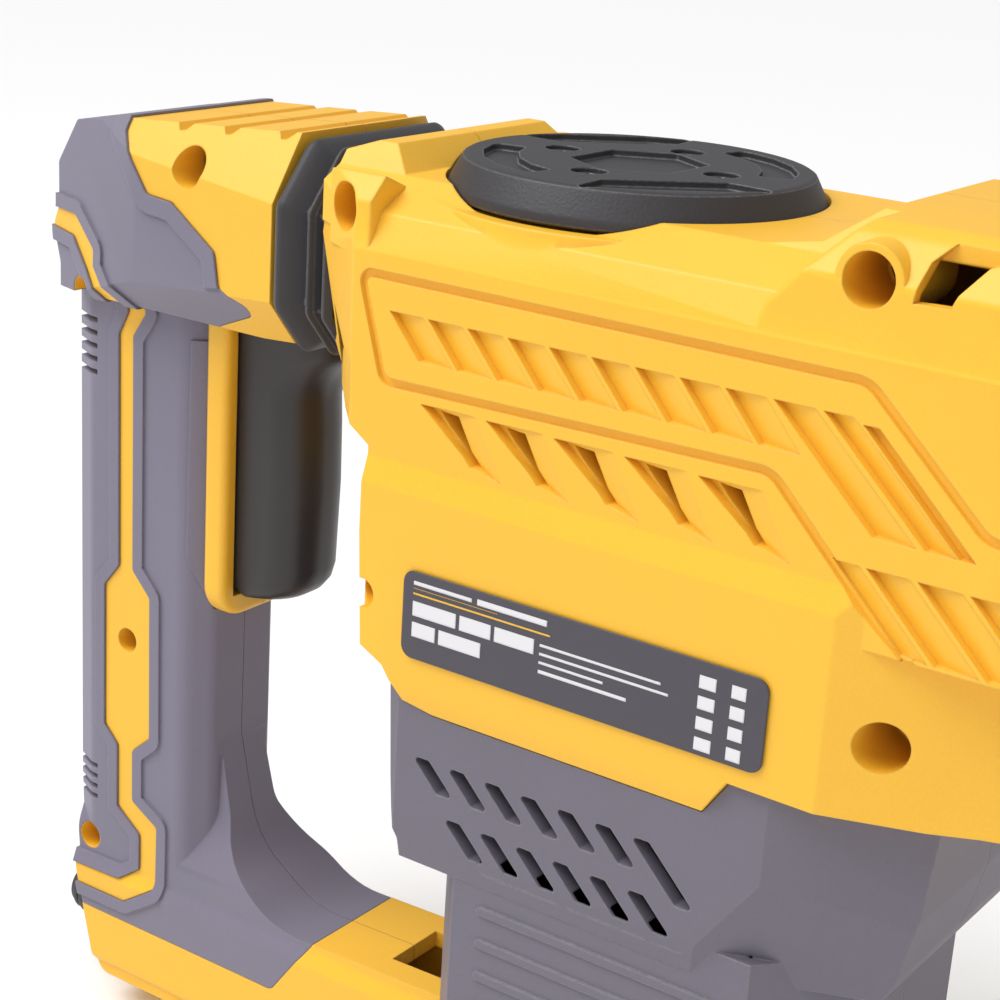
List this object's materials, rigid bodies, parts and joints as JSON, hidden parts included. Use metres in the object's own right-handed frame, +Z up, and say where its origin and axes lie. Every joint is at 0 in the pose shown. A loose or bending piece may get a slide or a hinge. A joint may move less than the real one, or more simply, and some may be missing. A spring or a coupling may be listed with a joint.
{
  "type": "demolition hammer",
  "caption": "Demolition hammer with an upright motor, sprung D-shaped rear handle, crank-driven striker and a chisel holder with a sliding lock sleeve.",
  "frame": {"origin": "centre of the flat foot under the motor, on the motor axis", "axes": "+X towards the chisel, +Z up along the motor axis, +Y to the left of the user"},
  "size_m": [0.515, 0.221, 0.272],
  "materials": {
    "yellow_plastic": "moulded plastic, fine grain, satin",
    "grey_plastic": "moulded plastic, fine grain, matt",
    "grip_rubber": "soft moulded overmould, matt",
    "black_rubber": "rubber, matt",
    "black_plastic": "moulded plastic, fine grain, satin",
    "plate_foil": "printed foil, plain blocks and lines only",
    "steel": "ground steel",
    "dark_steel": "dark coated metal",
    "cast_alloy": "as cast",
    "brass": "drawn brass",
    "copper": "copper segments",
    "carbon": "pressed carbon"
  },
  "bodies": {
    "casing": {"housing_right": "yellow_plastic", "housing_left": "yellow_plastic", "rating_plate": "plate_foil", "crankcase_cap": "black_plastic", "cap_screw_1": "steel", "cap_screw_2": "steel", "cap_screw_3": "steel", "cap_screw_4": "steel", "gear_housing": "cast_alloy", "crank_bearing": "steel", "motor_bearing_upper": "steel", "cylinder": "steel", "nose_barrel": "dark_steel", "tool_holder": "steel", "sleeve_spring": "steel", "dust_cap": "black_rubber", "motor_cover_right": "grey_plastic", "motor_cover_left": "grey_plastic", "bottom_cover": "grey_plastic", "stator": "steel", "motor_bearing_lower": "steel", "brush_right": "carbon", "brush_left": "carbon", "brush_holder_right": "brass", "brush_holder_left": "brass", "brush_cap_right": "black_plastic", "brush_cap_left": "black_plastic", "bellows": "black_rubber", "damper_rod": "steel", "damper_spring": "steel", "handle_pivot_pin": "steel"},
    "armature_unit": {"armature": "dark_steel", "commutator": "copper", "cooling_fan": "black_plastic"},
    "crank": {"crank_gear": "dark_steel"},
    "piston_unit": {"piston": "cast_alloy", "piston_seal": "black_rubber", "wrist_pin": "steel"},
    "connecting_rod": {"con_rod": "steel"},
    "striker_unit": {"striker": "steel"},
    "beat_unit": {"beat_piece": "steel"},
    "sleeve_unit": {"lock_sleeve": "black_plastic"},
    "roller_upper": {"lock_roller_upper": "steel"},
    "roller_lower": {"lock_roller_lower": "steel"},
    "rear_handle": {"handle_shell_right": "yellow_plastic", "handle_shell_left": "yellow_plastic", "grip_cover_right": "grip_rubber", "grip_cover_left": "grip_rubber", "trigger_pin": "steel", "trigger_spring": "steel", "switch_unit": "black_plastic", "cord_gland": "black_rubber"},
    "trigger_lever": {"trigger": "black_plastic"},
    "side_handle": {"side_handle_band": "steel", "side_handle_base": "black_plastic", "side_handle_bolt": "steel"},
    "side_grip": {"side_handle_grip": "grip_rubber"}
  },
  "joints": [
    {"name": "armature_spin", "type": "hinge", "parent": "casing", "child": "armature_unit", "pos_m": [0, 0, 0.07], "axis": [0, 0, 1], "continuous": true},
    {"name": "crank_spin", "type": "hinge", "parent": "casing", "child": "crank", "pos_m": [-0.033, 0, 0.172], "axis": [0, 0, 1], "continuous": true},
    {"name": "piston_slide", "type": "slide", "parent": "casing", "child": "piston_unit", "axis": [1, 0, 0], "range_m": [-0.026, 0]},
    {"name": "rod_swing", "type": "hinge", "parent": "piston_unit", "child": "connecting_rod", "pos_m": [0.046, 0, 0.208], "axis": [0, 0, 1], "range_deg": [-11.4, 11.4]},
    {"name": "striker_slide", "type": "slide", "parent": "casing", "child": "striker_unit", "axis": [1, 0, 0], "range_m": [0, 0.018]},
    {"name": "beat_slide", "type": "slide", "parent": "casing", "child": "beat_unit", "axis": [1, 0, 0], "range_m": [0, 0.008]},
    {"name": "sleeve_slide", "type": "slide", "parent": "casing", "child": "sleeve_unit", "axis": [-1, 0, 0], "range_m": [0, 0.008], "stiffness_N_per_m": 1200, "springref_m": -0.004, "deforming": ["sleeve_spring"]},
    {"name": "roller_upper_slide", "type": "slide", "parent": "casing", "child": "roller_upper", "axis": [0, 0, 1], "range_m": [0, 0.0022]},
    {"name": "roller_lower_slide", "type": "slide", "parent": "casing", "child": "roller_lower", "axis": [0, 0, -1], "range_m": [0, 0.0022]},
    {"name": "handle_rock", "type": "hinge", "parent": "casing", "child": "rear_handle", "pos_m": [-0.072, 0, 0.028], "axis": [0, 1, 0], "range_deg": [0, 1.6], "stiffness_Nm_per_rad": 900, "springref_deg": -1.15, "deforming": ["bellows", "damper_spring"]},
    {"name": "trigger_squeeze", "type": "hinge", "parent": "rear_handle", "child": "trigger_lever", "pos_m": [-0.118, 0, 0.217], "axis": [0, 1, 0], "range_deg": [0, 6], "stiffness_Nm_per_rad": 3, "springref_deg": -4.58, "deforming": ["trigger_spring"]},
    {"name": "side_handle_swing", "type": "hinge", "parent": "casing", "child": "side_handle", "pos_m": [0.202, 0, 0.208], "axis": [1, 0, 0], "continuous": true},
    {"name": "side_grip_twist", "type": "hinge", "parent": "side_handle", "child": "side_grip", "pos_m": [0.202, 0.06, 0.208], "axis": [0, 1, 0], "continuous": true}
  ],
  "couplings": [
    {"joint": "crank_spin", "follows": "armature_spin", "ratio": -0.2},
    {"joint": "roller_upper_slide", "follows": "sleeve_slide", "ratio": 0.275},
    {"joint": "roller_lower_slide", "follows": "sleeve_slide", "ratio": 0.275}
  ]
}
